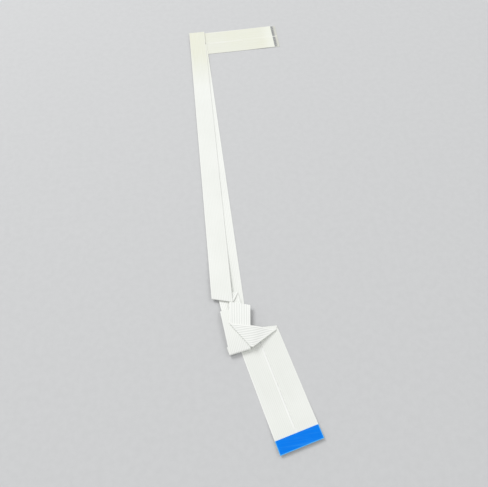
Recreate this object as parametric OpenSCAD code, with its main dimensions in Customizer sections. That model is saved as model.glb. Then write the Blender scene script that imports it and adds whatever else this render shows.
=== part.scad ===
// Flat flex cable, slit lengthwise into two half strips.
// The halves run one over the other, are pleated at the near end and lie side by side again at both tips.
// X and Y lie on the table and Z is up. The origin is the bottom centre of the folded cable's box.

/* [Cable] */
// Number of conductors, shared evenly by the two half strips
conductor_count = 24; // [8:2:28]
// Spacing of the conductors
pitch = 1; // [0.8:0.05:1.25]
// Width of one flat conductor
conductor_w = 0.7; // [0.4:0.05:0.75]
// Thickness of one flat conductor
conductor_t = 0.1; // [0.05:0.01:0.12]
// Thickness of each cover film
film_t = 0.1; // [0.05:0.01:0.12]
// Bond beyond the outermost conductor of a half strip
edge_margin = 0.325; // [0.2:0.025:0.5]
// Width of the slit between the half strips
slit_w = 0.3; // [0.2:0.05:0.5]

/* [Ends] */
// Length of bare contacts at each tip
contact_l = 4; // [2:0.5:6]
// Length of the blue stiffener at the near tip
near_stiffener_l = 7.5; // [7:0.5:12]
// Length of the clear stiffener at the far tip
far_stiffener_l = 9; // [7:0.5:12]
// Thickness of a stiffener
stiffener_t = 0.2; // [0.1:0.05:0.25]
// Uncut cable between a stiffener and the end of the slit
slit_stop = 1.5; // [1:0.5:5]
// Height that the near tip curls up to
near_lift = 1.3; // [0.5:0.1:3]

/* [Layout] */
// Far arm, from the run's centre line to the tip
arm_l = 65; // [50:1:120]
// Long run, from the arm's centre line to the end crease
run_l = 226.5; // [150:0.5:400]
// Near length, from the folds to the tip
near_l = 64.5; // [50:0.5:150]
// Turn of the near length from the run
near_turn = 12.6; // [8:0.2:16]
// Sideways place of the upper half strip at the far corner
far_offset = -0.6; // [-1:0.1:1]

/* [Folds] */
// Air between two layers that lie on each other
layer_gap = 0.15; // [0.1:0.01:0.2]
// Height of the upper half strip at its end crease
crease_lift = 2.3; // [2.2:0.1:4]
// Film past the corner crease at the far end
corner_lip = 1; // [0.9:0.1:3]

/* [Hidden] */

BEND_STEPS = 2;   // flats around a crease
RAMP_STEPS = 3;   // flats along a slope
PI_HALF = PI / 2;

tip_ramp = 15;  // length over which a lifted tip comes down to the table
lower_fall = 42;  // where the lower half strip has come down, from the arm's centre line
upper_fall = 55;  // where the upper half strip has come down on it
end_rise = 42;  // how far before its end crease the upper half strip starts to rise
near_tilt = 0.04;  // rise of the near tip per mm

function conductor_name(i) = str("conductor_", i < 10 ? "0" : "", i);

// ---- section of the cable ----
half_count = conductor_count / 2;
half_w = (half_count - 1) * pitch + conductor_w + 2 * edge_margin;
half_shift = (half_w + slit_w) / 2;
cable_w = 2 * half_w + slit_w;
core_h = conductor_t / 2;
skin_h = core_h + film_t;
body_t = 2 * skin_h;
layer_pitch = body_t + layer_gap;
small_step = 1.1 * layer_pitch;  // a height step up to this is one straight slope
twist_limit = 0.03 * film_t;  // a stretch that twists more than this bends along its diagonal

// Height of the middle of layer k above the table
function level(k) = body_t / 2 + k * layer_pitch;

// ---- plan of the folds ----
function unit(v) = v / norm(v);
function perp(v) = [-v.y, v.x];
function mix(a, b, f) = a + (b - a) * f;
function ease(f) = f * f * (3 - 2 * f);
function plan(p) = [p.x, p.y];
function travel(points, i = 0) =
    i >= len(points) - 1 ? 0 : norm(plan(points[i + 1]) - plan(points[i])) + travel(points, i + 1);

// A fold point of the near cluster, given in half-strip widths from the end of the run
function cluster(x, y) = [0, -run_l] + half_w * [x, y];

near_back = [-sin(near_turn), cos(near_turn)];  // from the near tip towards the folds
near_across = [cos(near_turn), sin(near_turn)];
near_root = cluster(0.935, -1.94);

// A point on a half strip's centre line in the near length, at a distance from the tip
function near_point(side, from_tip) =
    near_root + side * half_shift * near_across + (from_tip - near_l) * near_back;

// A point on a half strip's centre line in the far arm, at a distance from the tip
function far_point(side, from_tip) = [arm_l - from_tip, side * half_shift];

far_z = stiffener_t + body_t / 2;
far_flat = far_stiffener_l + slit_stop + tip_ramp;

// Path entries are [x, y, height on arrival, height on leaving, rise across the strip per mm,
// how much of the way to the next entry stays level]
function stop(p, z) = [p.x, p.y, z, z, 0, 0];
function crease(p, z_in, z_out, rise = 0, hold = 0) = [p.x, p.y, z_in, z_out, rise, hold];

function far_stops(side) = [
    stop(far_point(side, 0), far_z),
    stop(far_point(side, contact_l), far_z),
    stop(far_point(side, far_stiffener_l), far_z),
    stop(far_point(side, far_stiffener_l + slit_stop), far_z),
    stop(far_point(side, far_flat), level(0))
];

function near_stop(side, from_tip) = stop(near_point(side, from_tip), near_lift - near_tilt * from_tip);
function near_stops(side, settle) = [
    stop(near_point(side, near_l - settle), level(0)),
    stop(near_point(side, near_stiffener_l + slit_stop + tip_ramp), level(0)),
    near_stop(side, near_stiffener_l + slit_stop),
    near_stop(side, near_stiffener_l),
    near_stop(side, contact_l),
    near_stop(side, 0)
];

// Upper half strip: over the top at the far corner, then two pleats and three corner folds
corner_y = cable_w / 2 + corner_lip;
end_crease = cluster(-0.543, -0.02);
upper_run = unit(end_crease - [far_offset, corner_y]);
function upper_point(y) = end_crease - upper_run * (end_crease.y - y) / upper_run.y;
flap_rise = -0.206;
upper_path = concat(
    far_stops(1),
    [
        crease([far_offset, half_shift], level(0), level(0.95)),
        crease([far_offset, corner_y], level(0.95), level(2.1)),
        stop(upper_point(-upper_fall), level(1.1)),
        stop(upper_point(end_rise - run_l), level(1.1)),
        crease(end_crease, crease_lift, crease_lift - layer_pitch),
        crease(cluster(-0.25, 0.44), level(2.3), level(1.3)),
        crease(cluster(-0.065, -0.972), level(3), level(4)),
        crease(cluster(0.291, -0.28), level(4), level(7)),
        crease(cluster(0.076, -1.862), level(7), level(8), 0, 0.5),
        crease(cluster(1.24, -2.163), level(5.2), level(4.2), flap_rise),
        crease(near_point(1, near_l + 0.25 * half_w), level(2.1), level(1.1), -0.06)
    ],
    near_stops(1, 1.2 * half_w)
);

// Lower half strip: one corner fold, then a pleat, the lower flap and two hidden pleats
flap_top = cluster(-0.202, -0.526);
lower_tail = concat(
    [
        crease(flap_top, level(5), level(6)),
        crease(cluster(0, -2.696), level(6), level(3)),
        crease(cluster(-0.146, -2.06), level(3), level(2)),
        crease(cluster(0.33, -2.42), level(2), level(1)),
        crease(near_point(-1, near_l + 0.53 * half_w), level(1), level(0))
    ],
    near_stops(-1, half_w)
);

// Both half strips have the same length, so the lower one's first pleat goes down as far as it must
corner = [0, -half_shift];
spare = travel(upper_path) - travel(lower_tail) - arm_l;
to_flap = flap_top - corner;
pleat_drop = (spare * spare - to_flap * to_flap) / (2 * (spare + to_flap.y));
lower_path = concat(
    far_stops(-1),
    [
        crease(corner, level(0), level(0.9)),
        stop([0, -corner_y - corner_lip], level(0.9)),
        stop([0, -lower_fall], level(0)),
        stop([0, -run_l], level(0)),
        stop(cluster(0, -1.2), level(1)),
        stop(cluster(0, -1.78), level(4)),
        crease(corner - [0, pleat_drop], level(4), level(5))
    ],
    lower_tail
);

// ---- rings across a half strip: [centre, step per mm across, step per mm of height] ----
function heading(path, k) = unit(plan(path[k + 1]) - plan(path[k]));
function is_crease(path, k) =
    k > 0 && k < len(path) - 1 && heading(path, k - 1) * heading(path, k) < 0.99;

// Which way up the strip lies after point k: the back film is up at the far tip
function side_up(path, k) = k == 0 ? -1 : side_up(path, k - 1) * (is_crease(path, k) ? -1 : 1);

function stop_ring(path, k) =
    let (d = heading(path, min(k, len(path) - 2)),
         s = side_up(path, min(k, len(path) - 2)),
         across = s * perp(d))
    [[path[k].x, path[k].y, path[k][2]], [across.x, across.y, 0], [0, 0, s]];

function crease_ring(path, k, angle) =
    let (d = heading(path, k - 1),
         m = unit(d - heading(path, k)),
         c = perp(m),
         s = side_up(path, k - 1),
         q = d * m,
         along = s * (perp(d) - d * (perp(d) * m) / q),
         r = abs(path[k][3] - path[k][2]) / 2,
         up = sign(path[k][3] - path[k][2]),
         reach = r * (PI * angle / 180 - PI_HALF),
         o = plan(path[k]) + c * (reach / q * (d * c)) + m * (r * sin(angle) - r * PI_HALF))
    [[o.x, o.y, path[k][2] + up * r * (1 - cos(angle))],
     [along.x, along.y, path[k][4]],
     s * [-up * sin(angle) * m.x, -up * sin(angle) * m.y, cos(angle)]];

function point_rings(path, k) =
    is_crease(path, k)
    ? [for (i = [0:BEND_STEPS]) crease_ring(path, k, 180 * i / BEND_STEPS)]
    : [stop_ring(path, k)];

function slope_rings(path, k) =
    let (a = is_crease(path, k) ? crease_ring(path, k, 180) : stop_ring(path, k),
         b = is_crease(path, k + 1) ? crease_ring(path, k + 1, 0) : stop_ring(path, k + 1),
         flat = abs(a[0].z - b[0].z) < small_step && abs(a[1].z - b[1].z) < 0.001)
    flat ? [] : [for (i = [1:RAMP_STEPS - 1])
        let (hold = path[k][5], f = hold + (1 - hold) * (i - (hold > 0 ? 1 : 0)) / RAMP_STEPS,
             e = ease((f - hold) / (1 - hold)), o = mix(a[0], b[0], f), u = mix(a[1], b[1], f))
        [[o.x, o.y, mix(a[0].z, b[0].z, e)], [u.x, u.y, mix(a[1].z, b[1].z, e)], a[2]]];

function rings(path) = [
    for (k = [0:len(path) - 1])
        for (ring = concat(point_rings(path, k), k < len(path) - 1 ? slope_rings(path, k) : []))
            ring
];

upper_rings = rings(upper_path);
lower_rings = rings(lower_path);
SLIT_START = 3;  // ring at which the slit starts
SLIT_END = 3;    // ring at which it ends, counted back from the near tip

function place(ring, across, height) = ring[0] + across * ring[1] + height * ring[2];
function corners(ring, b0, b1, h0, h1) =
    [place(ring, b0, h0), place(ring, b1, h0), place(ring, b1, h1), place(ring, b0, h1)];

// How far the last corner of a stretch lies off the plane of its other three
function twist(r, next) =
    let (a = place(r, -half_w / 2, 0),
         n = cross(place(r, half_w / 2, 0) - a, place(next, half_w / 2, 0) - a))
    norm(n) == 0 ? 0 : abs(n * (place(next, -half_w / 2, 0) - a)) / norm(n);

// A ring along the diagonal of a stretch, where the whole width of film bends
function diagonal_ring(r, next) =
    let (a = place(r, -half_w / 2, 0), b = place(next, half_w / 2, 0))
    [(a + b) / 2, (b - a) / half_w, r[2]];

// Rings for the narrow strips inside the cable, which bend where the film does
function inner_rings(half) = [
    for (i = [0:len(half) - 1])
        for (ring = i < len(half) - 1 && twist(half[i], half[i + 1]) > twist_limit
                    ? [half[i], diagonal_ring(half[i], half[i + 1])] : [half[i]])
            ring
];

// ---- the frame: the middle of the folded cable's box, at its lowest point ----
outline = [
    for (r = concat(upper_rings, lower_rings))
        each corners(r, -half_w / 2, half_w / 2, -skin_h, skin_h)
];
box_low = [min([for (p = outline) p.x]), min([for (p = outline) p.y])];
box_high = [max([for (p = outline) p.x]), max([for (p = outline) p.y])];
shift = -[(box_low.x + box_high.x) / 2, (box_low.y + box_high.y) / 2, 0];

// ---- solids ----
function quad(a, b, c, d) = [[c, b, a], [d, c, a]];

// One wall of a four-cornered tube. Faces 0 and 2 of a stretch are split along the same diagonal,
// so that all layers of the cable lie flat on each other where it twists.
function tube_wall(e, first, next) =
    let (a = first + e, b = first + (e + 1) % 4, c = next + (e + 1) % 4, d = next + e)
    e == 2 ? quad(b, c, d, a) : quad(a, b, c, d);

// Side walls of a four-cornered tube. open_side is left out over the first and last few rings.
function tube_walls(first, count, open_side = -1, open_first = 0, open_last = 0) = [
    for (i = [0:count - 2])
        for (e = [0:3])
            if (e != open_side || (i >= open_first && i < count - 1 - open_last))
                each tube_wall(e, first + 4 * i, first + 4 * (i + 1))
];

function strip_points(ring_list, b0, b1, h0, h1) = [for (r = ring_list) each corners(r, b0, b1, h0, h1)];

// Faces of a closed four-cornered tube whose points start at first
function strip_faces(count, first = 0) =
    let (last = first + 4 * (count - 1))
    concat(quad(first + 3, first + 2, first + 1, first),
           tube_walls(first, count),
           quad(last, last + 1, last + 2, last + 3));

// A layer of the whole cable: both half strips, joined past the slit's ends.
// bare is how many rings the layer stops short of each tip.
module slit_layer(h0, h1, bare) {
    lower = [for (i = [bare:len(lower_rings) - 1 - bare]) lower_rings[i]];
    upper = [for (i = [bare:len(upper_rings) - 1 - bare]) upper_rings[i]];
    n = len(lower);
    m = len(upper);
    far = SLIT_START - bare;
    near = SLIT_END - bare;
    low = strip_points(lower, -half_w / 2, half_w / 2, h0, h1);
    high = strip_points(upper, -half_w / 2, half_w / 2, h0, h1);
    u = 4 * n;  // the upper half's first point
    // the web between the halves, from ring i of each
    function web(i, j) = concat(
        quad(4 * i + 1, u + 4 * j, u + 4 * (j + 1), 4 * (i + 1) + 1),
        quad(4 * (i + 1) + 2, u + 4 * (j + 1) + 3, u + 4 * j + 3, 4 * i + 2));
    function wall(i, j) = quad(4 * i + 2, u + 4 * j + 3, u + 4 * j, 4 * i + 1);
    function flip(list) = [for (f = list) [f[2], f[1], f[0]]];
    faces = concat(
        quad(3, 2, 1, 0), quad(u + 3, u + 2, u + 1, u), wall(0, 0),
        tube_walls(0, n, 1, far, near), tube_walls(u, m, 3, far, near),
        [for (i = [0:far - 1]) each web(i, i)],
        flip(wall(far, far)),
        [for (i = [1:near]) each web(n - 1 - i, m - 1 - i)],
        wall(n - 1 - near, m - 1 - near),
        quad(u - 4, u - 3, u - 2, u - 1),
        quad(u + 4 * m - 4, u + 4 * m - 3, u + 4 * m - 2, u + 4 * m - 1),
        flip(wall(n - 1, m - 1)));
    translate(shift) polyhedron(points = concat(low, high), faces = faces, convexity = 10);
}

// Film on the face that carries both stiffeners
module face_film() {
    color("whitesmoke") slit_layer(core_h, skin_h, 0);
}

// Film on the back, cut short at both tips so that the contacts are bare
module back_film() {
    color("whitesmoke") slit_layer(-skin_h, -core_h, 1);
}

// Place of conductor i across its half strip
function conductor_at(i) = (i - (half_count - 1) / 2) * pitch;

// The total of all entries before each one
function running_total(list) = [for (i = 0, t = 0; i < len(list); t = t + list[i], i = i + 1) t];

// Edges of the bond beside conductor i of a half strip, counted from its lower side
function bond_left(i) = i == 0 ? -half_w / 2 : conductor_at(i - 1) + conductor_w / 2;
function bond_right(i) = i == half_count ? half_w / 2 : conductor_at(i) - conductor_w / 2;

// Bond between and beside the conductors, in the same layer as they are
module bond_layer() {
    bars = [
        for (half = [lower_rings, upper_rings])
            let (covered = [for (i = [1:len(half) - 2]) half[i]], inside = inner_rings(covered))
                for (i = [0:half_count])
                    strip_points(i == 0 || i == half_count ? covered : inside,
                                 bond_left(i), bond_right(i), -core_h, core_h)
    ];
    starts = running_total([for (bar = bars) len(bar)]);
    points = [for (bar = bars) each bar];
    faces = [for (i = [0:len(bars) - 1]) each strip_faces(len(bars[i]) / 4, starts[i])];
    color("gainsboro") translate(shift) polyhedron(points = points, faces = faces, convexity = 10);
}

// One flat conductor, bare at both tips on the back
module conductor(i) {
    half = inner_rings(i <= half_count ? lower_rings : upper_rings);
    x = conductor_at((i - 1) % half_count);
    points = strip_points(half, x - conductor_w / 2, x + conductor_w / 2, -core_h, core_h);
    color("silver") translate(shift)
        polyhedron(points = points, faces = strip_faces(len(half)), convexity = 10);
}

// A stiffener across both half strips, bonded on the face film
module stiffener(low, high) {
    top = skin_h + stiffener_t;
    points = [
        for (i = [0:len(low) - 1])
            each [place(low[i], -half_w / 2, skin_h), place(high[i], half_w / 2, skin_h),
                  place(high[i], half_w / 2, top), place(low[i], -half_w / 2, top)]
    ];
    translate(shift) polyhedron(points = points, faces = strip_faces(len(low)), convexity = 4);
}

module far_stiffener() {
    color("aliceblue") stiffener([for (i = [0:2]) lower_rings[i]], [for (i = [0:2]) upper_rings[i]]);
}

module near_stiffener() {
    n = len(lower_rings);
    m = len(upper_rings);
    color("dodgerblue") stiffener([for (i = [n - 3:n - 1]) lower_rings[i]],
                                  [for (i = [m - 3:m - 1]) upper_rings[i]]);
}

face_film();
back_film();
bond_layer();
near_stiffener();
far_stiffener();
for (i = [1:conductor_count])
    conductor(i);
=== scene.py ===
"""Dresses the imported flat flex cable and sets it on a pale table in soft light.

The films, conductors and bond are built again along the folded route with rounder creases, smoother
slopes and the ribs that the conductors press into the films. The stiffeners keep their CAD solids.
"""

import math

import bmesh
import bpy
from mathutils import Matrix, Vector


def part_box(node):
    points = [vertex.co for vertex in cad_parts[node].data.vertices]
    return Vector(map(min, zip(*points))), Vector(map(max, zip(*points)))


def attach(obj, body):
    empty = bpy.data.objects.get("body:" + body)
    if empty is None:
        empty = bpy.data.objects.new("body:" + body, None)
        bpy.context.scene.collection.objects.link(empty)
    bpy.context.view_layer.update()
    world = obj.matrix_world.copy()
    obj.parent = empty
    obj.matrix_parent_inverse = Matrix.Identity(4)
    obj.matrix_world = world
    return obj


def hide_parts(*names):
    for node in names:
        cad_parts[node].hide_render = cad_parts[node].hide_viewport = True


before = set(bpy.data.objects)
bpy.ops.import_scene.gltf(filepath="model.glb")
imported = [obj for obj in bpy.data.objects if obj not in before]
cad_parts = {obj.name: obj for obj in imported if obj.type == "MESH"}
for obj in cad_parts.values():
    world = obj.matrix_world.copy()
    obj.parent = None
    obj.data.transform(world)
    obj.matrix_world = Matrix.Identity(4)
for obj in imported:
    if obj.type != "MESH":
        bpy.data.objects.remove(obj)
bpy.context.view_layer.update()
MM = 0.001

# ---------------------------------------------------------------- sizes, in millimetres
HALF_COUNT = 12     # conductors in a half strip
PITCH = 1
CONDUCTOR_W = 0.7
EDGE_MARGIN = 0.325
SLIT_W = 0.3
CORE_H = 0.05       # middle of the cable to the top of a conductor
SKIN_H = 0.15       # middle of the cable to the outside of a film
LAYER = 0.45        # from one layer of the folds to the next
CONTACT_L = 4
NEAR_STIFFENER_L = 7.5
FAR_STIFFENER_L = 9
STIFFENER_T = 0.2
SLIT_STOP = 1.5     # uncut cable between a stiffener and the slit
NEAR_LIFT = 1.3     # height of the near tip's end
NEAR_TILT = 0.04    # rise of the near tip per mm
TIP_RAMP = 15       # length over which a lifted tip comes down to the table
ARM_L = 65
RUN_L = 226.5
NEAR_L = 64.5
NEAR_TURN = math.radians(12.6)
FAR_OFFSET = -0.6   # sideways place of the upper half strip at the far corner
CREASE_LIFT = 2.3   # height of the upper half strip at its end crease
CORNER_LIP = 1      # film past the corner crease at the far end
LOWER_FALL = 42     # where the lower half strip has come down, from the arm's centre line
UPPER_FALL = 55     # where the upper half strip has come down on it
END_RISE = 42       # how far before its end crease the upper half strip starts to rise
FLAP_RISE = -0.206  # slope across the upper half strip at its outermost fold, per mm
NEAR_RISE = -0.06   # and at its last fold, into the near length

HALF_W = (HALF_COUNT - 1) * PITCH + CONDUCTOR_W + 2 * EDGE_MARGIN
HALF_SHIFT = (HALF_W + SLIT_W) / 2
CABLE_W = 2 * HALF_W + SLIT_W
FAR_Z = STIFFENER_T + SKIN_H
CORNER_Y = CABLE_W / 2 + CORNER_LIP

# ---------------------------------------------------------------- how finely it is built
BEND_STEPS = 6
RAMP_STEPS = 8
TIP_RINGS = 4                   # rings at each tip that the slit doesn't reach
SMALL_STEP = 1.1 * LAYER        # a height step up to this is one straight slope
SMALL_TWIST = 0.001             # if the slope across the strip changes no more than this
STRAIGHT_ON = 0.99              # cosine of the turn above which a mark is no crease
SHARP_TURN = math.radians(50)   # edges that turn more than this look sharp

# ---------------------------------------------------------------- the films
RIDGE_LEAST = 0.008         # height of a rib where the conductors don't show
RIDGE_BY_SHOW = 0.042       # what is added to it where they show fully
RIB_SHAPE = ((-0.46, 0), (-0.3, 0.75), (0, 1), (0.3, 0.75), (0.46, 0))  # in pitches and rib heights
CUT_GAP = 0.08              # the slit is closed up to this where the film lies flat
CURL_REACH = 1.3            # width of film that curls up along the slit
EDGE_HIGHLIGHT_PLAIN = 0.3             # strength of the painted highlight on the sealed edges where the film doesn't curl

# How plainly the conductors show through the film, and how strong the painted highlight and shade on
# their ribs are, on each stretch between two creases
UPPER_SHOW = [0.3, 0.3, 0.25, 0.5, 0.5, 0.5, 0.75, 1.0, 0.3, 0.12]
LOWER_SHOW = [0.3, 0.4, 0.5, 0.2, 0.45, 0.3, 0.3, 0.12]
# How far the cut edge of the lower half strip curls up along the slit, by stretch
SLIT_CURL = {7: 0.5}

# ---------------------------------------------------------------- the route


def level(k):
    """Height of the middle of layer k above the table."""
    return SKIN_H + k * LAYER


def cluster(x, y):
    """A fold point near the end of the run, in half-strip widths."""
    return Vector((HALF_W * x, HALF_W * y - RUN_L))


def perp(v):
    """v turned a quarter to the left."""
    return Vector((-v.y, v.x))


NEAR_BACK = Vector((-math.sin(NEAR_TURN), math.cos(NEAR_TURN)))
NEAR_ACROSS = Vector((math.cos(NEAR_TURN), math.sin(NEAR_TURN)))
NEAR_ROOT = cluster(0.935, -1.94)


def near_point(side, from_tip):
    """A point on a half strip's centre line in the near length."""
    return NEAR_ROOT + side * HALF_SHIFT * NEAR_ACROSS + (from_tip - NEAR_L) * NEAR_BACK


def far_point(side, from_tip):
    """A point on a half strip's centre line in the far arm."""
    return Vector((ARM_L - from_tip, side * HALF_SHIFT))


class Mark:
    """A stop or a crease on the route of a half strip's centre line.

    z_in and z_out are its heights on arrival and on leaving, rise is the slope across the strip
    there, and hold is the share of the way to the next mark that stays level.
    """

    def __init__(self, at, z_in, z_out=None, rise=0.0, hold=0.0):
        self.at = Vector(at)
        self.z_in = z_in
        self.z_out = z_in if z_out is None else z_out
        self.rise = rise
        self.hold = hold


def far_stops(side):
    slit_end = FAR_STIFFENER_L + SLIT_STOP
    raised = [Mark(far_point(side, from_tip), FAR_Z)
              for from_tip in (0, CONTACT_L, FAR_STIFFENER_L, slit_end)]
    return raised + [Mark(far_point(side, slit_end + TIP_RAMP), level(0))]


def near_stops(side, settle):
    slit_end = NEAR_STIFFENER_L + SLIT_STOP
    flat = [Mark(near_point(side, from_tip), level(0))
            for from_tip in (NEAR_L - settle, slit_end + TIP_RAMP)]
    return flat + [Mark(near_point(side, from_tip), NEAR_LIFT - NEAR_TILT * from_tip)
                   for from_tip in (slit_end, NEAR_STIFFENER_L, CONTACT_L, 0)]


END_CREASE = cluster(-0.543, -0.02)
UPPER_RUN = (END_CREASE - Vector((FAR_OFFSET, CORNER_Y))).normalized()


def upper_point(y):
    """A point on the upper half strip's straight run."""
    return END_CREASE - UPPER_RUN * (END_CREASE.y - y) / UPPER_RUN.y


# The upper half strip goes over the top at the far corner, then through two pleats and three folds
UPPER = far_stops(1) + [
    Mark((FAR_OFFSET, HALF_SHIFT), level(0), level(0.95)),
    Mark((FAR_OFFSET, CORNER_Y), level(0.95), level(2.1)),
    Mark(upper_point(-UPPER_FALL), level(1.1)),
    Mark(upper_point(END_RISE - RUN_L), level(1.1)),
    Mark(END_CREASE, CREASE_LIFT, CREASE_LIFT - LAYER),
    Mark(cluster(-0.25, 0.44), level(2.3), level(1.3)),
    Mark(cluster(-0.065, -0.972), level(3), level(4)),
    Mark(cluster(0.291, -0.28), level(4), level(7)),
    Mark(cluster(0.076, -1.862), level(7), level(8), hold=0.5),
    Mark(cluster(1.24, -2.163), level(5.2), level(4.2), FLAP_RISE),
    Mark(near_point(1, NEAR_L + 0.25 * HALF_W), level(2.1), level(1.1), NEAR_RISE),
] + near_stops(1, 1.2 * HALF_W)

# The lower one has a corner fold, a pleat, the lower flap and two hidden pleats
FLAP_TOP = cluster(-0.202, -0.526)
LOWER_TAIL = [
    Mark(FLAP_TOP, level(5), level(6)),
    Mark(cluster(0, -2.696), level(6), level(3)),
    Mark(cluster(-0.146, -2.06), level(3), level(2)),
    Mark(cluster(0.33, -2.42), level(2), level(1)),
    Mark(near_point(-1, NEAR_L + 0.53 * HALF_W), level(1), level(0)),
] + near_stops(-1, HALF_W)


def travel(marks):
    """Length of the route in plan."""
    return sum((b.at - a.at).length for a, b in zip(marks, marks[1:]))


# Both half strips are equally long, so the lower one's first pleat goes down as far as it must
CORNER = Vector((0, -HALF_SHIFT))
SPARE = travel(UPPER) - travel(LOWER_TAIL) - ARM_L
TO_FLAP = FLAP_TOP - CORNER
PLEAT_DROP = (SPARE ** 2 - TO_FLAP.dot(TO_FLAP)) / (2 * (SPARE + TO_FLAP.y))
LOWER = far_stops(-1) + [
    Mark(CORNER, level(0), level(0.9)),
    Mark((0, -CORNER_Y - CORNER_LIP), level(0.9)),
    Mark((0, -LOWER_FALL), level(0)),
    Mark((0, -RUN_L), level(0)),
    Mark(cluster(0, -1.2), level(1)),
    Mark(cluster(0, -1.78), level(4)),
    Mark(CORNER - Vector((0, PLEAT_DROP)), level(4), level(5)),
] + LOWER_TAIL

# ---------------------------------------------------------------- rings along the route


class Ring:
    """A cut across a half strip: its centre, the step per mm across, and the step per mm of height."""

    def __init__(self, centre, across, up):
        self.centre = centre
        self.across = across
        self.up = up
        self.show = 0.0
        self.along = 0.0
        self.curl = 0.0
        self.joined = False

    def place(self, across, height):
        """The point at a distance across the half strip and a height from its middle."""
        reach = max(0.0, (across - HALF_W / 2 + CURL_REACH) / CURL_REACH)
        height += self.curl * reach * reach * math.copysign(1, self.up.z)
        point = self.centre + across * self.across + height * self.up
        point.z = max(point.z, 0.0)     # ribs under the cable are pressed flat by the table
        return point


def is_crease(marks, k):
    if k == 0 or k == len(marks) - 1:
        return False
    before = (marks[k].at - marks[k - 1].at).normalized()
    after = (marks[k + 1].at - marks[k].at).normalized()
    return before.dot(after) < STRAIGHT_ON


def side_up(marks, k):
    """1 where the face film is up after mark k, and -1 where the back film is, as at the far tip."""
    return -1 * (-1) ** sum(is_crease(marks, i) for i in range(1, k + 1))


def stop_ring(marks, k):
    """The cut at a mark that is no crease. The last mark takes its heading from the one before."""
    start = min(k, len(marks) - 2)
    heading = (marks[start + 1].at - marks[start].at).normalized()
    side = side_up(marks, start)
    centre = marks[k].at.to_3d() + Vector((0, 0, marks[k].z_in))
    return Ring(centre, side * perp(heading).to_3d(), Vector((0, 0, side)))


def crease_ring(marks, k, angle):
    """A cut in the round bend at a crease, where angle goes from 0 on arrival to pi on leaving."""
    mark = marks[k]
    heading = (mark.at - marks[k - 1].at).normalized()
    outward = (heading - (marks[k + 1].at - mark.at).normalized()).normalized()
    crease = perp(outward)
    side = side_up(marks, k - 1)
    lean = heading.dot(outward)
    slant = side * (perp(heading) - heading * perp(heading).dot(outward) / lean)
    radius = abs(mark.z_out - mark.z_in) / 2
    climb = math.copysign(1, mark.z_out - mark.z_in)
    unrolled = radius * (angle - math.pi / 2)
    centre = (mark.at + crease * (unrolled / lean * heading.dot(crease))
              + outward * (radius * math.sin(angle) - radius * math.pi / 2))
    height = mark.z_in + climb * radius * (1 - math.cos(angle))
    tilt = -climb * math.sin(angle)
    return Ring(Vector((centre.x, centre.y, height)),
                Vector((slant.x, slant.y, mark.rise)),
                side * Vector((tilt * outward.x, tilt * outward.y, math.cos(angle))))


def crease_rings(marks, k):
    return [crease_ring(marks, k, math.pi * i / BEND_STEPS) for i in range(BEND_STEPS + 1)]


def slope_rings(marks, k):
    """The cuts between mark k and the next one, where the strip climbs, falls or twists."""
    start = crease_ring(marks, k, math.pi) if is_crease(marks, k) else stop_ring(marks, k)
    end = crease_ring(marks, k + 1, 0) if is_crease(marks, k + 1) else stop_ring(marks, k + 1)
    climb = end.centre.z - start.centre.z
    twist = end.across.z - start.across.z
    if abs(climb) < SMALL_STEP and abs(twist) < SMALL_TWIST:
        return []
    made = []
    hold = marks[k].hold
    for i in range(0 if hold else 1, RAMP_STEPS):
        step = i / RAMP_STEPS
        eased = step * step * (3 - 2 * step)
        centre = start.centre.lerp(end.centre, hold + (1 - hold) * step)
        across = start.across.lerp(end.across, hold + (1 - hold) * step)
        centre.z = start.centre.z + climb * eased
        across.z = start.across.z + twist * eased
        made.append(Ring(centre, across, start.up.copy()))
    return made


def rings(marks, show, curl):
    """All cuts of a half strip from the far tip to the near one. show and curl go by stretch."""
    made = []
    stretch = 0
    for k in range(len(marks)):
        creased = is_crease(marks, k)
        if creased:
            stretch += 1
        here = crease_rings(marks, k) if creased else [stop_ring(marks, k)]
        slope = slope_rings(marks, k) if k < len(marks) - 1 else []
        for ring in here + slope:
            ring.show = show[stretch]
            ring.curl = curl.get(stretch, 0)
            if made:
                ring.along = made[-1].along + (ring.centre - made[-1].centre).length
            made.append(ring)
        if creased:
            for ring in here:
                ring.curl = 0
    for ring in made[:TIP_RINGS] + made[-TIP_RINGS:]:
        ring.curl = 0
        ring.joined = True
    return made


LOWER_RINGS = rings(LOWER, LOWER_SHOW, SLIT_CURL)
UPPER_RINGS = rings(UPPER, UPPER_SHOW, {})

# The route is laid where the CAD tip lies
far_low, far_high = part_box("far_stiffener")
SHIFT = Vector((far_high[0] / MM - ARM_L, (far_low[1] + far_high[1]) / 2 / MM, 0))

# ---------------------------------------------------------------- meshes


class Strips:
    """Gathers closed strips that run along the route into one mesh."""

    def __init__(self):
        self.points = []
        self.faces = []
        self.uvs = []
        self.shows = []
        self.edge_highlights = []

    def add(self, ring_list, section):
        """section(ring) gives the points (across, height) of one cut, in order round it."""
        first = len(self.points)
        for ring in ring_list:
            cut = section(ring)
            for across, height in cut:
                self.points.append(ring.place(across, height))
                self.uvs.append((across, ring.along))
                self.shows.append(ring.show)
                self.edge_highlights.append(EDGE_HIGHLIGHT_PLAIN if ring.curl == 0 else 1.0)
        count = len(cut)
        last = first + (len(ring_list) - 1) * count
        for start in range(first, last, count):
            for j in range(count):
                k = (j + 1) % count
                self.faces.append((start + j, start + k, start + count + k, start + count + j))
        self.faces.append(tuple(range(first, first + count)))
        self.faces.append(tuple(range(last, last + count)))


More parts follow.
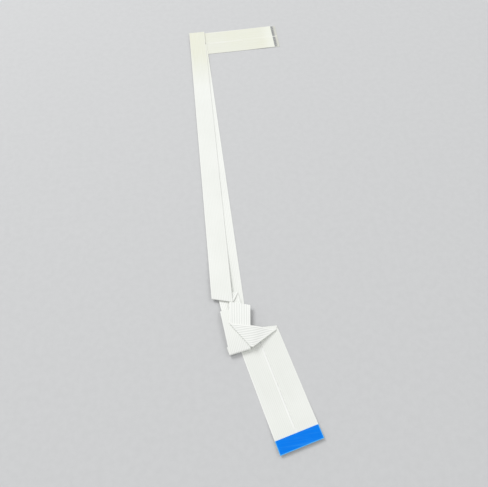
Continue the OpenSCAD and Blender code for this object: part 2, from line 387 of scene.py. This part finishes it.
def new_piece(name, node_names, strips, material):
    """Makes a mesh piece from points in millimetres, with a UV in millimetres across and along."""
    mesh = bpy.data.meshes.new(name)
    mesh.from_pydata([tuple((point + SHIFT) * MM) for point in strips.points], [], strips.faces)
    uv_layer = mesh.uv_layers.new(name="strip")
    for loop in mesh.loops:
        uv_layer.data[loop.index].uv = strips.uvs[loop.vertex_index]
    for label, values in (("show", strips.shows), ("edge_highlight", strips.edge_highlights)):
        attribute = mesh.attributes.new(label, "FLOAT", "POINT")
        attribute.data.foreach_set("value", values)
    for polygon in mesh.polygons:
        polygon.use_smooth = True
    mesh.materials.append(material)
    bm = bmesh.new()
    bm.from_mesh(mesh)
    bmesh.ops.recalc_face_normals(bm, faces=bm.faces)
    for edge in bm.edges:
        if len(edge.link_faces) == 2 and edge.calc_face_angle(0) > SHARP_TURN:
            edge.smooth = False
    bm.to_mesh(mesh)
    bm.free()
    piece = bpy.data.objects.new(name, mesh)
    bpy.context.scene.collection.objects.link(piece)
    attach(piece, "root")
    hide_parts(*node_names)


def conductor_at(i):
    """Place of conductor i across its half strip."""
    return (i - (HALF_COUNT - 1) / 2) * PITCH


def film_cut(ring, inner_edge, side):
    """Points round a cut through a film. The slit is at its high edge where inner_edge is 1."""
    web = SLIT_W / 2 if ring.joined else (SLIT_W - CUT_GAP) / 2
    low = -HALF_W / 2 - (web if inner_edge == -1 else 0)
    high = HALF_W / 2 + (web if inner_edge == 1 else 0)
    ridge = 0 if ring.joined else RIDGE_LEAST + RIDGE_BY_SHOW * ring.show
    ribs = [(conductor_at(i) + across * PITCH, ridge * share)
            for i in range(HALF_COUNT) for across, share in RIB_SHAPE]
    outside = [(low, 0)] + ribs + [(high, 0)]
    return ([(across, side * (SKIN_H + rise)) for across, rise in outside]
            + [(across, side * CORE_H) for across, _ in reversed(outside)])


def film(name, node, side, bare, material):
    """A cover film. side is 1 on the face and -1 on the back. It stops bare rings short of each tip."""
    strips = Strips()
    for ring_list, inner_edge in ((LOWER_RINGS, 1), (UPPER_RINGS, -1)):
        covered = ring_list[bare:len(ring_list) - bare]
        strips.add(covered, lambda ring: film_cut(ring, inner_edge, side))
    new_piece(name, [node], strips, material)


def add_bar(strips, ring_list, low, high):
    """A bar between the films, from low to high across the half strip."""
    corners = [(low, -CORE_H), (high, -CORE_H), (high, CORE_H), (low, CORE_H)]
    strips.add(ring_list, lambda ring: corners)


def core_pieces():
    """The conductors from tip to tip, and the bond that fills the gaps between and beside them."""
    conductor_names = [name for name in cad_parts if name.startswith("conductor_")]
    fingers = Strips()
    glue = Strips()
    for ring_list in (LOWER_RINGS, UPPER_RINGS):
        gap_low = -HALF_W / 2
        for i in range(HALF_COUNT):
            low = conductor_at(i) - CONDUCTOR_W / 2
            high = conductor_at(i) + CONDUCTOR_W / 2
            add_bar(fingers, ring_list, low, high)
            add_bar(glue, ring_list[1:-1], gap_low, low)
            gap_low = high
        add_bar(glue, ring_list[1:-1], gap_low, HALF_W / 2)
    new_piece("conductors", conductor_names, fingers, contact_material())
    new_piece("bond", ["bond_layer"], glue, bond_material())


def dress_stiffener(node_name, material):
    """Gives a CAD stiffener its material and finely broken edges."""
    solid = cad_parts[node_name]
    solid.data.materials.clear()
    solid.data.materials.append(material)
    bevel = solid.modifiers.new("cut_edge", "BEVEL")
    bevel.width = 0.04 * MM
    bevel.segments = 2
    bevel.limit_method = "ANGLE"


# ---------------------------------------------------------------- materials


class Shader:
    """A node material with short calls for its parts."""

    def __init__(self, name, **settings):
        self.material = bpy.data.materials.new(name)
        self.material.use_nodes = True
        self.nodes = self.material.node_tree.nodes
        self.links = self.material.node_tree.links
        self.out = self.nodes["Principled BSDF"]
        for key, value in settings.items():
            self.out.inputs[key.replace("_", " ")].default_value = value

    def join(self, source, target):
        self.links.new(source, target)

    def finish(self, colour, roughness, normal):
        """Joins the looks to the material and hands it over."""
        self.join(colour, self.out.inputs["Base Color"])
        if isinstance(roughness, float):
            self.out.inputs["Roughness"].default_value = roughness
        else:
            self.join(roughness, self.out.inputs["Roughness"])
        self.join(normal, self.out.inputs["Normal"])
        return self.material

    def place(self):
        """Place on the object, in metres."""
        return self.nodes.new("ShaderNodeTexCoord").outputs["Object"]

    def strip(self):
        """Place on the strip, in millimetres across and along."""
        made = self.nodes.new("ShaderNodeUVMap")
        made.uv_map = "strip"
        return made.outputs[0]

    def attribute(self, name):
        made = self.nodes.new("ShaderNodeAttribute")
        made.attribute_name = name
        return made.outputs["Fac"]

    def split(self, vector):
        """The three parts of a vector."""
        made = self.nodes.new("ShaderNodeSeparateXYZ")
        self.join(vector, made.inputs[0])
        return made.outputs

    def moved(self, vector, scale=(1, 1, 1), turn=0.0, location=(0, 0, 0)):
        """A vector scaled, then turned about Z, then moved."""
        made = self.nodes.new("ShaderNodeMapping")
        made.inputs["Scale"].default_value = scale
        made.inputs["Rotation"].default_value = (0, 0, turn)
        made.inputs["Location"].default_value = location
        self.join(vector, made.inputs["Vector"])
        return made.outputs[0]

    def math(self, operation, a, b=None):
        made = self.nodes.new("ShaderNodeMath")
        made.operation = operation
        for slot, value in zip(made.inputs, (a, b)):
            if value is None:
                continue
            if isinstance(value, (int, float)):
                slot.default_value = value
            else:
                self.join(value, slot)
        return made.outputs[0]

    def times(self, a, b):
        return self.math("MULTIPLY", a, b)

    def minus(self, a, b):
        return self.math("SUBTRACT", a, b)

    def mix(self, factor, a, b):
        """Colour a where factor is 0 and colour b where it is 1."""
        made = self.nodes.new("ShaderNodeMix")
        made.data_type = "RGBA"
        for slot, value in ((made.inputs[0], factor), (made.inputs[6], a), (made.inputs[7], b)):
            if isinstance(value, tuple):
                slot.default_value = value
            else:
                self.join(value, slot)
        return made.outputs[2]

    def ramp(self, source, low, high, out_low=0.0, out_high=1.0):
        """out_low where source is low and out_high where it is high, smoothly between them."""
        made = self.nodes.new("ShaderNodeMapRange")
        made.interpolation_type = "SMOOTHSTEP"
        self.join(source, made.inputs[0])
        for index, value in enumerate((low, high, out_low, out_high)):
            made.inputs[index + 1].default_value = value
        return made.outputs[0]

    def noise(self, vector, scale, detail=3.0, roughness=0.5):
        made = self.nodes.new("ShaderNodeTexNoise")
        self.join(vector, made.inputs["Vector"])
        made.inputs["Scale"].default_value = scale
        made.inputs["Detail"].default_value = detail
        made.inputs["Roughness"].default_value = roughness
        return made.outputs["Fac"]

    def bump(self, height, strength, distance, under=None):
        """A normal from a height map, laid on the normal under. distance is in millimetres."""
        made = self.nodes.new("ShaderNodeBump")
        made.inputs["Strength"].default_value = strength
        made.inputs["Distance"].default_value = distance * MM
        self.join(height, made.inputs["Height"])
        if under is not None:
            self.join(under, made.inputs["Normal"])
        return made.outputs["Normal"]


def rgb(r, g, b):
    """A colour given as it is seen, 0 to 255, as a linear value."""
    def linear(c):
        c /= 255
        return c / 12.92 if c <= 0.04045 else ((c + 0.055) / 1.055) ** 2.4
    return (linear(r), linear(g), linear(b), 1.0)


def film_material():
    """Milky polyester film: conductors show faintly through it as ribs with painted highlight and
    shade, and its sealed edges are clearer, with a painted highlight.
    """
    look = Shader("cover_film", Specular_IOR_Level=0.35)
    strip = look.strip()
    across, along, _ = look.split(strip)
    show = look.attribute("show")
    edge_highlight = look.attribute("edge_highlight")
    place = look.place()
    broad = look.noise(place, 45, detail=2)
    fine = look.noise(place, 900, detail=4, roughness=0.6)
    sheen_streaks = look.noise(look.moved(strip, scale=(1, 0.02, 1)), 1.7)

    # 1 over a conductor and 0 between two
    wave = look.math("COSINE", look.times(look.minus(across, PITCH / 2), 2 * math.pi / PITCH))
    conductor = look.ramp(wave, -0.75, 0.1)
    # 1 on the sealed edges, past the outermost conductors
    sealed = HALF_W / 2 - EDGE_MARGIN
    edge = look.ramp(look.math("ABSOLUTE", across), sealed - 0.12, sealed + 0.08)
    valley = look.times(look.minus(1.0, conductor), look.minus(1.0, edge))

    # darker and yellower towards the far end: painted shade where less light reaches, over a slight
    # yellow tint of the film; cooler near the folds, and a little uneven
    far_shade_and_tint = look.ramp(look.split(place)[1], 95 * MM, 145 * MM)
    base = look.mix(far_shade_and_tint, rgb(242, 244, 239), rgb(229, 230, 211))
    base = look.mix(look.ramp(broad, 0.3, 0.7, 0.0, 0.3), base, rgb(228, 231, 224))
    # paler streaks along the strip: painted sheen lines
    base = look.mix(look.ramp(sheen_streaks, 0.35, 0.65, 0.0, 0.25), base, rgb(246, 248, 244))
    # where the conductors show: painted highlight on the rib crests over them and painted shade in the
    # valleys between them
    ribs = look.times(conductor, look.ramp(show, 0.2, 0.6, 0.0, 0.8))
    base = look.mix(ribs, base, rgb(254, 255, 252))
    lines = look.times(valley, look.ramp(show, 0.3, 1.0, 0.13, 0.5))
    base = look.mix(lines, base, rgb(198, 203, 198))
    # painted highlight on the clear sealed edges, and on the rim that curls up along the slit
    base = look.mix(look.times(edge, edge_highlight), base, rgb(252, 253, 250))
    slit_highlight = look.times(look.ramp(edge_highlight, EDGE_HIGHLIGHT_PLAIN, 1.0, 0.0, 0.45),
                        look.ramp(across, HALF_W / 2 - 1.0, HALF_W / 2 - 0.7))
    base = look.mix(slit_highlight, base, rgb(254, 255, 252))
    # the film is whiter over the last stretch of the far tip
    paler_far_tip = look.ramp(along, FAR_STIFFENER_L + 5, FAR_STIFFENER_L - 3, 0.0, 0.5)
    base = look.mix(paler_far_tip, base, rgb(243, 246, 238))

    roughness = look.minus(look.ramp(fine, 0.2, 0.8, 0.34, 0.46), look.times(edge, 0.1))
    waves = look.bump(broad, 0.25, 0.8)
    return look.finish(base, roughness, look.bump(fine, 0.12, 0.06, waves))


def end_highlight_mask(look, place, tip):
    """Mask of the painted highlight: 1 along the sides and the end of the near tip, whose end has its
    middle at tip.
    """
    turned_tip = Matrix.Rotation(-NEAR_TURN, 3, "Z") @ (tip.to_3d() + SHIFT)
    across, from_end, _ = look.split(look.moved(place, turn=-NEAR_TURN, location=-turned_tip * MM))
    starts, full = 0.5, 0.25    # millimetres from the edge
    sides = look.ramp(look.math("ABSOLUTE", across),
                      (CABLE_W / 2 - starts) * MM, (CABLE_W / 2 - full) * MM)
    return look.math("MAXIMUM", sides, look.ramp(from_end, starts * MM, full * MM))


def stiffener_material(name, colour, pale, dark, tip=None):
    """Calendered polyester strip: long faint drawing lines, a painted highlight on its cut edges and a
    soft sheen.
    """
    look = Shader(name, Specular_IOR_Level=0.08)
    place = look.place()
    broad = look.noise(place, 260, detail=2)
    fine = look.noise(place, 1800, detail=4, roughness=0.6)
    lines = look.noise(look.moved(place, scale=(0.06, 1.6, 1), turn=-NEAR_TURN), 900)
    normal = look.nodes.new("ShaderNodeNewGeometry").outputs["Normal"]
    upright = look.ramp(look.math("ABSOLUTE", look.split(normal)[2]), 0.8, 0.3)
    base = look.mix(look.ramp(broad, 0.3, 0.7, 0.0, 0.5), colour, dark)
    base = look.mix(look.ramp(lines, 0.45, 0.75, 0.0, 0.1), base, pale)
    # painted highlight on the upright cut sides
    base = look.mix(look.times(upright, 0.8), base, pale)
    if tip is not None:
        # painted highlight: the cut edges catch the light as a thin pale line
        base = look.mix(look.times(end_highlight_mask(look, place, tip), 0.75), base, pale)
    drawn = look.bump(lines, 0.12, 0.05)
    return look.finish(base, look.ramp(fine, 0.2, 0.8, 0.38, 0.52), look.bump(fine, 0.1, 0.04, drawn))


def contact_material():
    """Tinned copper with wipe marks along the contacts, paler at the far end; its grey is kept darker
    than tin as a painted reflection of dark surroundings.
    """
    look = Shader("tinned_contact", Metallic=0.85)
    strip = look.strip()
    wipes = look.noise(look.moved(strip, scale=(9, 0.35, 1)), 3, detail=4, roughness=0.6)
    cloud = look.noise(look.place(), 700)
    # painted reflection: the tin is given a dark grey as if it mirrored dark surroundings
    base = look.mix(wipes, rgb(128, 130, 134), rgb(170, 172, 176))
    base = look.mix(look.ramp(cloud, 0.35, 0.7, 0.0, 0.4), base, rgb(118, 118, 120))
    base = look.mix(look.ramp(look.split(strip)[1], 2.6, 1.2), base, rgb(214, 214, 208))
    return look.finish(base, look.ramp(wipes, 0.2, 0.8, 0.25, 0.45), look.bump(wipes, 0.15, 0.03))


def bond_material():
    """Adhesive between the conductors: milky, slightly yellow and dull."""
    look = Shader("bond")
    cloud = look.noise(look.place(), 500)
    base = look.mix(cloud, rgb(222, 222, 208), rgb(236, 236, 226))
    return look.finish(base, 0.6, look.bump(cloud, 0.1, 0.03))


def table_material():
    """Pale painted board with a barely visible grain."""
    look = Shader("table", Specular_IOR_Level=0.2)
    grain = look.noise(look.place(), 260, detail=4, roughness=0.6)
    base = look.mix(look.ramp(grain, 0.3, 0.7), rgb(206, 207, 208), rgb(209, 210, 211))
    return look.finish(base, 0.75, look.bump(grain, 0.02, 0.2))


# ---------------------------------------------------------------- the cable
film_look = film_material()
film("face_cover", "face_film", 1, 0, film_look)
film("back_cover", "back_film", -1, 1, film_look)
core_pieces()
dress_stiffener("near_stiffener", stiffener_material(
    "blue_stiffener", rgb(0, 127, 242), rgb(96, 196, 250), rgb(0, 120, 235), near_point(0, 0)))
dress_stiffener("far_stiffener", stiffener_material(
    "clear_stiffener", rgb(232, 235, 222), rgb(246, 247, 240), rgb(222, 226, 212)))

# ---------------------------------------------------------------- table and light, in metres
TABLE_REACH = 8.0
TABLE_DROP = 0.02 * MM      # just under the cable, so that their faces don't meet
table_mesh = bpy.data.meshes.new("table")
table_mesh.from_pydata([(-TABLE_REACH, -TABLE_REACH, 0), (TABLE_REACH, -TABLE_REACH, 0),
                        (TABLE_REACH, TABLE_REACH, 0), (-TABLE_REACH, TABLE_REACH, 0)],
                       [], [(0, 1, 2, 3)])
table_mesh.materials.append(table_material())
table = bpy.data.objects.new("table", table_mesh)
table.location = (0, 0, -TABLE_DROP)
bpy.context.scene.collection.objects.link(table)


def light_room(lit, seen):
    """A white room. lit is its strength as a light, and seen is how bright it looks, also mirrored."""
    world = bpy.data.worlds.new("studio")
    bpy.context.scene.world = world
    world.use_nodes = True
    tree = world.node_tree
    path = tree.nodes.new("ShaderNodeLightPath")
    looked_at = path.outputs["Is Camera Ray"]
    for ray in ("Is Transmission Ray", "Is Glossy Ray"):
        either = tree.nodes.new("ShaderNodeMath")
        either.operation = "MAXIMUM"
        tree.links.new(looked_at, either.inputs[0])
        tree.links.new(path.outputs[ray], either.inputs[1])
        looked_at = either.outputs[0]
    strength = tree.nodes.new("ShaderNodeMapRange")
    strength.inputs["To Min"].default_value = lit
    strength.inputs["To Max"].default_value = seen
    tree.links.new(looked_at, strength.inputs["Value"])
    sky = tree.nodes["Background"]
    sky.inputs["Color"].default_value = (1, 1, 1, 1)
    tree.links.new(strength.outputs[0], sky.inputs["Strength"])


def area_light(name, at, target, size, watts):
    data = bpy.data.lights.new(name, "AREA")
    data.shape = "DISK"
    data.size = size
    data.energy = watts
    lamp = bpy.data.objects.new(name, data)
    lamp.location = at
    lamp.rotation_euler = (Vector(target) - Vector(at)).to_track_quat("-Z", "Y").to_euler()
    bpy.context.scene.collection.objects.link(lamp)


light_room(lit=0.6, seen=0.95)
area_light("key", (-0.9, 1.2, 1.6), (0, -0.03, 0), size=1.1, watts=22)
area_light("fill", (1.3, 0.1, 1.7), (0, -0.1, 0), size=1.2, watts=5.5)

# ---------------------------------------------------------------- camera
# It stands over the near end and looks along the run
CAMERA_AT = Vector((-3.87, -336.9, 277.6)) + SHIFT
HEADING = math.radians(6)
PITCH_DOWN = math.radians(61.82)
ROLL = math.radians(1.95)
SENSOR_W = 36
LENS = 36.2
forward = Vector((math.sin(HEADING) * math.cos(PITCH_DOWN), math.cos(HEADING) * math.cos(PITCH_DOWN),
                  -math.sin(PITCH_DOWN)))
right = Vector((math.cos(HEADING), -math.sin(HEADING), 0))
upward = right.cross(forward)
view_right = math.cos(ROLL) * right - math.sin(ROLL) * upward
view_up = math.sin(ROLL) * right + math.cos(ROLL) * upward
turn = Matrix((view_right, view_up, -forward)).transposed().to_4x4()
camera_data = bpy.data.cameras.new("camera")
camera_data.sensor_width = SENSOR_W
camera_data.lens = LENS
camera_data.clip_start = 0.01
camera = bpy.data.objects.new("camera", camera_data)
camera.matrix_world = Matrix.Translation(CAMERA_AT * MM) @ turn
bpy.context.scene.collection.objects.link(camera)
bpy.context.scene.camera = camera
bpy.context.scene.view_settings.view_transform = "Standard"
